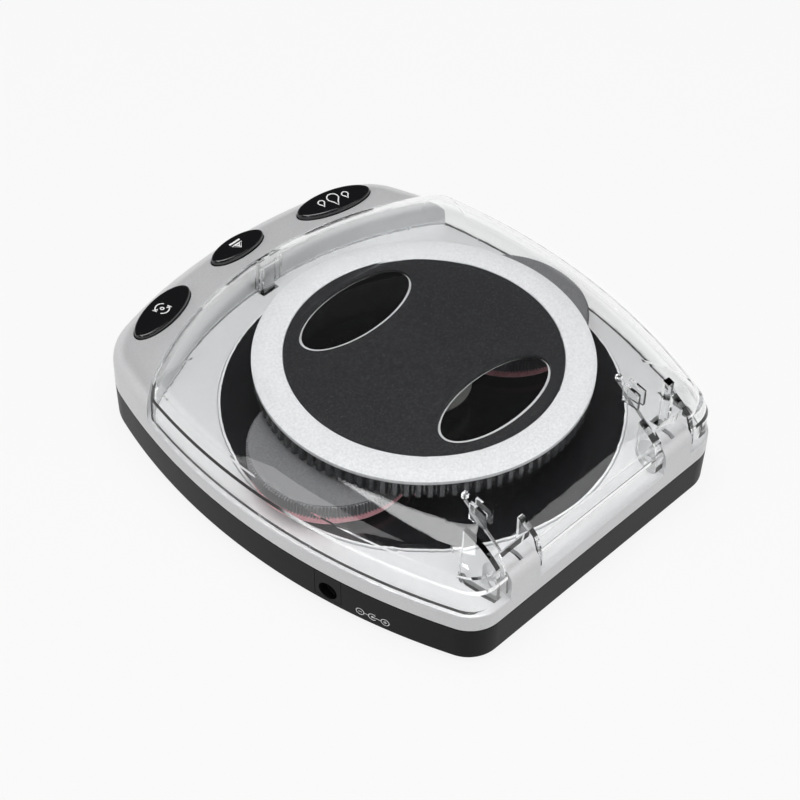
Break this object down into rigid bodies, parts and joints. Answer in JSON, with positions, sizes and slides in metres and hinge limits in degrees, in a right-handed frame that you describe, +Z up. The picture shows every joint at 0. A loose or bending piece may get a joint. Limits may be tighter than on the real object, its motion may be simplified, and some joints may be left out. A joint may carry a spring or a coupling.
{
  "type": "disc repair machine",
  "caption": "Tabletop machine that polishes scratched discs: bowed two-part case, clear hinged lid, turning head with geared pad wheels over a round tray, and oval push keys.",
  "frame": {"origin": "centre of the whole machine's outline at the underside of its feet", "axes": "+X to the user's right, the side with the power socket; +Y to the rear, the hinge side; +Z up"},
  "size_m": [0.145, 0.1696, 0.0429],
  "materials": {
    "black_case": "black plastic with a soft sheen",
    "silver_paint": "satin silver paint on plastic",
    "clear_lid": "clear, faintly smoky polished plastic",
    "window_clear": "clear polished plastic with a bevelled edge",
    "tray_pale": "pale satin plastic",
    "mat_black": "gloss black plastic",
    "head_black": "satin black plastic with a fine grain",
    "grip_black": "black moulded plastic",
    "head_silver": "satin silver paint on plastic",
    "gear_plastic": "natural acetal",
    "wheel_plastic": "grey moulded plastic",
    "pad_pink": "pink abrasive foam with a fine grain",
    "steel": "turned bright steel",
    "spring_steel": "bright spring wire",
    "motor_can": "plated steel",
    "bracket_steel": "plated sheet steel",
    "brass": "turned brass",
    "bush_bronze": "sintered bronze",
    "rubber_black": "black rubber",
    "dome_grey": "grey silicone rubber",
    "key_black": "gloss black plastic with a pale moulded sign",
    "board_green": "printed circuit board",
    "chip_black": "black epoxy with tinned legs",
    "capacitor": "sleeved aluminium",
    "connector_white": "white plastic",
    "latch_plastic": "black acetal",
    "sensor_black": "black plastic",
    "lead_red_black": "sleeved stranded wire",
    "screw_steel": "zinc plated steel"
  },
  "bodies": {
    "case": {"lower_case": "black_case", "socket_panel": "black_case", "upper_case": "silver_paint", "disc_tray": "tray_pale", "tray_mat": "mat_black", "spindle_post": "head_black", "upper_bush": "bush_bronze", "lower_bush": "bush_bronze", "sun_gear": "gear_plastic", "idler_pin": "steel", "drive_belt": "rubber_black", "motor": "motor_can", "motor_bracket": "bracket_steel", "motor_screws": "screw_steel", "hinge_pins": "steel", "key_dome_clean": "dome_grey", "key_dome_repair": "dome_grey", "control_board": "board_green", "board_screws": "screw_steel", "control_chip": "chip_black", "board_capacitors": "capacitor", "lead_plug": "connector_white", "latch_bridge": "latch_plastic", "latch_spring": "spring_steel", "open_springs": "spring_steel", "lid_sensor": "sensor_black", "power_socket": "sensor_black", "socket_pin": "brass", "socket_leads": "lead_red_black", "motor_leads": "lead_red_black", "sensor_leads": "lead_red_black", "rubber_feet": "rubber_black", "case_screws": "screw_steel"},
    "lid": {"lid": "clear_lid", "torsion_spring_left": "spring_steel", "torsion_spring_right": "spring_steel"},
    "head": {"head_carrier": "grip_black", "grip_rim": "grip_black", "head_ring": "head_silver", "head_cap": "head_black", "window_front": "window_clear", "window_rear": "window_clear", "wheel_axle_left": "steel", "wheel_axle_right": "steel", "axle_clip_left": "steel", "axle_clip_right": "steel", "drive_shaft": "steel", "final_gear": "gear_plastic"},
    "wheel_left": {"pad_wheel_left": "wheel_plastic", "polishing_pad_left": "pad_pink"},
    "wheel_right": {"pad_wheel_right": "wheel_plastic", "polishing_pad_right": "pad_pink"},
    "clean_key": {"clean_button": "key_black"},
    "open_key": {"open_button": "key_black"},
    "repair_key": {"repair_button": "key_black"},
    "latch": {"latch_slider": "latch_plastic"},
    "idler": {"idler_gear": "gear_plastic"},
    "motor_rotor": {"motor_shaft": "steel", "motor_pulley": "brass"}
  },
  "joints": [
    {"name": "lid_hinge", "type": "hinge", "parent": "case", "child": "lid", "pos_m": [0, 0.0793, 0.0262], "axis": [-1, 0, 0], "range_deg": [0, 95], "deforming": ["torsion_spring_left", "torsion_spring_right"]},
    {"name": "head_spin", "type": "hinge", "parent": "case", "child": "head", "pos_m": [0, 0.0096, 0.03], "axis": [0, 0, 1], "continuous": true},
    {"name": "wheel_left_spin", "type": "hinge", "parent": "head", "child": "wheel_left", "pos_m": [-0.04097, 0.00803, 0.028], "axis": [0, 0, 1], "continuous": true},
    {"name": "wheel_right_spin", "type": "hinge", "parent": "head", "child": "wheel_right", "pos_m": [0.04097, 0.01117, 0.028], "axis": [0, 0, 1], "continuous": true},
    {"name": "idler_spin", "type": "hinge", "parent": "case", "child": "idler", "pos_m": [-0.009, -0.00599, 0.008], "axis": [0, 0, 1], "continuous": true},
    {"name": "motor_spin", "type": "hinge", "parent": "case", "child": "motor_rotor", "pos_m": [-0.034, -0.0324, 0.008], "axis": [0, 0, 1], "continuous": true},
    {"name": "clean_press", "type": "slide", "parent": "case", "child": "clean_key", "axis": [0, 0, -1], "range_m": [0, 0.0012], "stiffness_N_per_m": 300, "springref_m": -0.001, "deforming": ["key_dome_clean"]},
    {"name": "open_press", "type": "slide", "parent": "case", "child": "open_key", "axis": [0, 0, -1], "range_m": [0, 0.0012], "stiffness_N_per_m": 300, "springref_m": -0.001, "deforming": ["open_springs"]},
    {"name": "repair_press", "type": "slide", "parent": "case", "child": "repair_key", "axis": [0, 0, -1], "range_m": [0, 0.0012], "stiffness_N_per_m": 300, "springref_m": -0.001, "deforming": ["key_dome_repair"]},
    {"name": "latch_slide", "type": "slide", "parent": "case", "child": "latch", "axis": [0, -1, 0], "range_m": [0, 0.0012], "deforming": ["latch_spring"]}
  ],
  "couplings": [
    {"joint": "wheel_left_spin", "follows": "head_spin", "ratio": 0.57692},
    {"joint": "wheel_right_spin", "follows": "head_spin", "ratio": 0.57692},
    {"joint": "idler_spin", "follows": "head_spin", "ratio": -5},
    {"joint": "motor_spin", "follows": "head_spin", "ratio": -19.74},
    {"joint": "latch_slide", "follows": "open_press", "ratio": 1}
  ]
}
